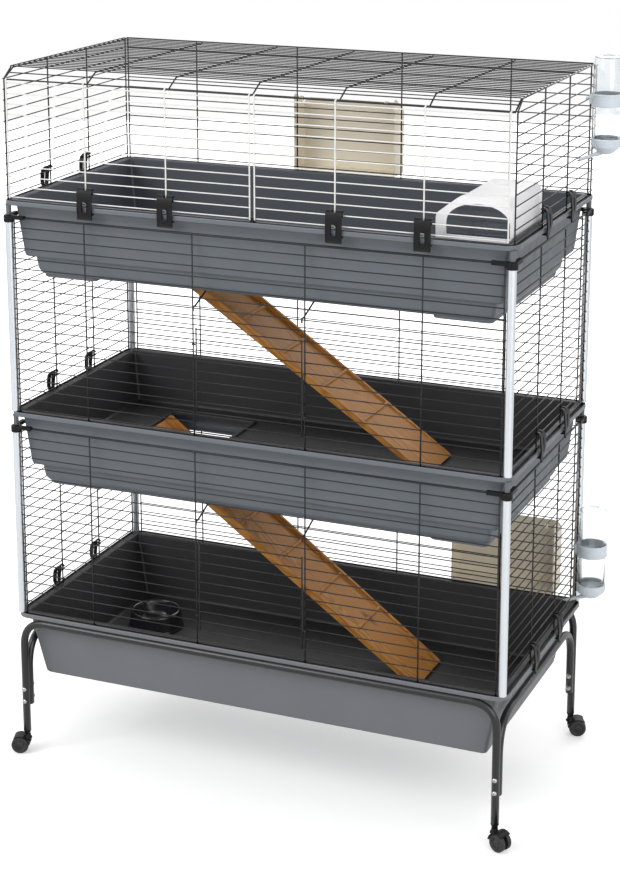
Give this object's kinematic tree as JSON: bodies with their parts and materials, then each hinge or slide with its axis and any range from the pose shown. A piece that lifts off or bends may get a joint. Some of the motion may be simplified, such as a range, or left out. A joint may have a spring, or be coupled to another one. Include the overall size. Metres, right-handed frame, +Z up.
{
  "type": "rabbit cage",
  "caption": "Tall multi storey wire rabbit cage with plastic trays, timber ramps and a tube stand on swivel casters.",
  "frame": {"origin": "on the floor under the trays' centre", "axes": "+X along the cage to its bottle end, +Y to its back wall, +Z up; the doors face -Y"},
  "size_m": [1.2658, 0.6655, 1.6283],
  "materials": {
    "stand_steel": "black powder coat",
    "bolt_steel": "bright zinc",
    "wheel_plastic": "black nylon",
    "caster_plastic": "black nylon",
    "tray_plastic": "blue-grey moulded",
    "post_aluminium": "satin",
    "clip_plastic": "black moulded",
    "white_wire": "white powder coat",
    "black_wire": "black powder coat",
    "ramp_wood": "varnished",
    "bowl_plastic": "glossy charcoal",
    "house_plastic": "white moulded",
    "window_plastic": "clear plastic",
    "rack_plastic": "cream moulded",
    "bottle_plastic": "clear plastic",
    "holder_plastic": "pale blue-grey moulded"
  },
  "bodies": {
    "cage": {"stand_front_frame": "stand_steel", "stand_back_frame": "stand_steel", "stand_end_frames": "stand_steel", "leg_bolts": "bolt_steel", "leg_plugs": "caster_plastic", "tray_bottom": "tray_plastic", "tray_middle": "tray_plastic", "tray_top": "tray_plastic", "corner_posts": "post_aluminium", "corner_connectors": "clip_plastic", "lower_front_panel": "black_wire", "lower_back_panel": "black_wire", "lower_end_panels": "black_wire", "middle_front_panel": "black_wire", "middle_back_panel": "black_wire", "middle_end_panels": "black_wire", "roof_panel": "black_wire", "top_back_panel": "black_wire", "top_end_panels": "black_wire", "tray_rods": "black_wire", "door_rest": "clip_plastic", "corner_house": "house_plastic", "house_window": "window_plastic", "hay_racks": "rack_plastic", "bottles": "bottle_plastic", "bottle_holders": "holder_plastic", "bottle_caps": "holder_plastic"},
    "caster_fl": {"caster_housing_fl": "caster_plastic"},
    "wheels_fl": {"caster_wheels_fl": "wheel_plastic"},
    "caster_fr": {"caster_housing_fr": "caster_plastic"},
    "wheels_fr": {"caster_wheels_fr": "wheel_plastic"},
    "caster_bl": {"caster_housing_bl": "caster_plastic"},
    "wheels_bl": {"caster_wheels_bl": "wheel_plastic"},
    "caster_br": {"caster_housing_br": "caster_plastic"},
    "wheels_br": {"caster_wheels_br": "wheel_plastic"},
    "top_door_left": {"top_door_left": "white_wire"},
    "top_door_right": {"top_door_right": "white_wire"},
    "lower_door": {"lower_door": "black_wire"},
    "lower_latch": {"lower_latch": "black_wire"},
    "middle_door": {"middle_door": "black_wire"},
    "middle_latch": {"middle_latch": "black_wire"},
    "front_clip_1": {"front_clip_1": "clip_plastic"},
    "front_clip_2": {"front_clip_2": "clip_plastic"},
    "front_clip_3": {"front_clip_3": "clip_plastic"},
    "front_clip_4": {"front_clip_4": "clip_plastic"},
    "lower_clip_1": {"lower_clip_1": "clip_plastic"},
    "lower_clip_2": {"lower_clip_2": "clip_plastic"},
    "lower_clip_3": {"lower_clip_3": "clip_plastic"},
    "lower_clip_4": {"lower_clip_4": "clip_plastic"},
    "middle_clip_1": {"middle_clip_1": "clip_plastic"},
    "middle_clip_2": {"middle_clip_2": "clip_plastic"},
    "middle_clip_3": {"middle_clip_3": "clip_plastic"},
    "middle_clip_4": {"middle_clip_4": "clip_plastic"},
    "top_clip_1": {"top_clip_1": "clip_plastic"},
    "top_clip_2": {"top_clip_2": "clip_plastic"},
    "top_clip_3": {"top_clip_3": "clip_plastic"},
    "top_clip_4": {"top_clip_4": "clip_plastic"},
    "lower_ramp": {"lower_ramp": "ramp_wood"},
    "middle_ramp": {"middle_ramp": "ramp_wood"},
    "food_bowl": {"food_bowl": "bowl_plastic"}
  },
  "joints": [
    {"name": "caster_swivel_fl", "type": "hinge", "parent": "cage", "child": "caster_fl", "pos_m": [-0.571, -0.29, 0.048], "axis": [0, 0, 1], "continuous": true},
    {"name": "wheel_roll_fl", "type": "hinge", "parent": "caster_fl", "child": "wheels_fl", "pos_m": [-0.58698, -0.29581, 0.02], "axis": [-0.342, 0.9397, 0], "continuous": true},
    {"name": "caster_swivel_fr", "type": "hinge", "parent": "cage", "child": "caster_fr", "pos_m": [0.571, -0.29, 0.048], "axis": [0, 0, 1], "continuous": true},
    {"name": "wheel_roll_fr", "type": "hinge", "parent": "caster_fr", "child": "wheels_fr", "pos_m": [0.58641, -0.29718, 0.02], "axis": [-0.4226, -0.9063, 0], "continuous": true},
    {"name": "caster_swivel_bl", "type": "hinge", "parent": "cage", "child": "caster_bl", "pos_m": [-0.571, 0.29, 0.048], "axis": [0, 0, 1], "continuous": true},
    {"name": "wheel_roll_bl", "type": "hinge", "parent": "caster_bl", "child": "wheels_bl", "pos_m": [-0.58698, 0.29581, 0.02], "axis": [0.342, 0.9397, 0], "continuous": true},
    {"name": "caster_swivel_br", "type": "hinge", "parent": "cage", "child": "caster_br", "pos_m": [0.571, 0.29, 0.048], "axis": [0, 0, 1], "continuous": true},
    {"name": "wheel_roll_br", "type": "hinge", "parent": "caster_br", "child": "wheels_br", "pos_m": [0.58698, 0.29581, 0.02], "axis": [0.342, -0.9397, 0], "continuous": true},
    {"name": "top_door_left_hinge", "type": "hinge", "parent": "cage", "child": "top_door_left", "pos_m": [0, -0.2853, 1.581], "axis": [-1, 0, 0], "range_deg": [0, 200]},
    {"name": "top_door_right_hinge", "type": "hinge", "parent": "cage", "child": "top_door_right", "pos_m": [0, -0.2853, 1.581], "axis": [-1, 0, 0], "range_deg": [0, 200]},
    {"name": "lower_door_hinge", "type": "hinge", "parent": "cage", "child": "lower_door", "pos_m": [-0.13, -0.2829, 0.476], "axis": [0, 0, -1], "range_deg": [0, 100]},
    {"name": "lower_latch_slide", "type": "slide", "parent": "lower_door", "child": "lower_latch", "axis": [0, 0, 1], "range_m": [0, 0.013]},
    {"name": "middle_door_hinge", "type": "hinge", "parent": "cage", "child": "middle_door", "pos_m": [-0.13, -0.2829, 0.96], "axis": [0, 0, -1], "range_deg": [0, 100]},
    {"name": "middle_latch_slide", "type": "slide", "parent": "middle_door", "child": "middle_latch", "axis": [0, 0, 1], "range_m": [0, 0.013]},
    {"name": "front_clip_1_hinge", "type": "hinge", "parent": "top_door_left", "child": "front_clip_1", "pos_m": [-0.38, -0.2853, 1.34482], "axis": [-1, 0, 0], "range_deg": [0, 90]},
    {"name": "front_clip_2_hinge", "type": "hinge", "parent": "top_door_left", "child": "front_clip_2", "pos_m": [-0.187, -0.2853, 1.34482], "axis": [-1, 0, 0], "range_deg": [0, 90]},
    {"name": "front_clip_3_hinge", "type": "hinge", "parent": "top_door_right", "child": "front_clip_3", "pos_m": [0.199, -0.2853, 1.34482], "axis": [-1, 0, 0], "range_deg": [0, 90]},
    {"name": "front_clip_4_hinge", "type": "hinge", "parent": "top_door_right", "child": "front_clip_4", "pos_m": [0.392, -0.2853, 1.34482], "axis": [-1, 0, 0], "range_deg": [0, 90]},
    {"name": "lower_clip_1_hinge", "type": "hinge", "parent": "cage", "child": "lower_clip_1", "pos_m": [-0.5828, -0.09, 0.37711], "axis": [0, 1, 0], "range_deg": [0, 90]},
    {"name": "lower_clip_2_hinge", "type": "hinge", "parent": "cage", "child": "lower_clip_2", "pos_m": [-0.5828, 0.09, 0.37711], "axis": [0, 1, 0], "range_deg": [0, 90]},
    {"name": "lower_clip_3_hinge", "type": "hinge", "parent": "cage", "child": "lower_clip_3", "pos_m": [0.5828, -0.09, 0.37711], "axis": [0, -1, 0], "range_deg": [0, 90]},
    {"name": "lower_clip_4_hinge", "type": "hinge", "parent": "cage", "child": "lower_clip_4", "pos_m": [0.5828, 0.09, 0.37711], "axis": [0, -1, 0], "range_deg": [0, 90]},
    {"name": "middle_clip_1_hinge", "type": "hinge", "parent": "cage", "child": "middle_clip_1", "pos_m": [-0.5828, -0.09, 0.86111], "axis": [0, 1, 0], "range_deg": [0, 90]},
    {"name": "middle_clip_2_hinge", "type": "hinge", "parent": "cage", "child": "middle_clip_2", "pos_m": [-0.5828, 0.09, 0.86111], "axis": [0, 1, 0], "range_deg": [0, 90]},
    {"name": "middle_clip_3_hinge", "type": "hinge", "parent": "cage", "child": "middle_clip_3", "pos_m": [0.5828, -0.09, 0.86111], "axis": [0, -1, 0], "range_deg": [0, 90]},
    {"name": "middle_clip_4_hinge", "type": "hinge", "parent": "cage", "child": "middle_clip_4", "pos_m": [0.5828, 0.09, 0.86111], "axis": [0, -1, 0], "range_deg": [0, 90]},
    {"name": "top_clip_1_hinge", "type": "hinge", "parent": "cage", "child": "top_clip_1", "pos_m": [-0.5828, -0.09, 1.3455], "axis": [0, 1, 0], "range_deg": [0, 90]},
    {"name": "top_clip_2_hinge", "type": "hinge", "parent": "cage", "child": "top_clip_2", "pos_m": [-0.5828, 0.09, 1.3455], "axis": [0, 1, 0], "range_deg": [0, 90]},
    {"name": "top_clip_3_hinge", "type": "hinge", "parent": "cage", "child": "top_clip_3", "pos_m": [0.5828, -0.09, 1.3455], "axis": [0, -1, 0], "range_deg": [0, 90]},
    {"name": "top_clip_4_hinge", "type": "hinge", "parent": "cage", "child": "top_clip_4", "pos_m": [0.5828, 0.09, 1.3455], "axis": [0, -1, 0], "range_deg": [0, 90]},
    {"name": "lower_ramp_lift", "type": "hinge", "parent": "cage", "child": "lower_ramp", "pos_m": [-0.428, 0.062, 0.71], "axis": [0, -1, 0], "range_deg": [0, 14]},
    {"name": "middle_ramp_lift", "type": "hinge", "parent": "cage", "child": "middle_ramp", "pos_m": [-0.428, 0.062, 1.194], "axis": [0, -1, 0], "range_deg": [0, 14]},
    {"name": "food_bowl_lift", "type": "slide", "parent": "cage", "child": "food_bowl", "axis": [0, 0, 1], "range_m": [0, 0.08]}
  ]
}
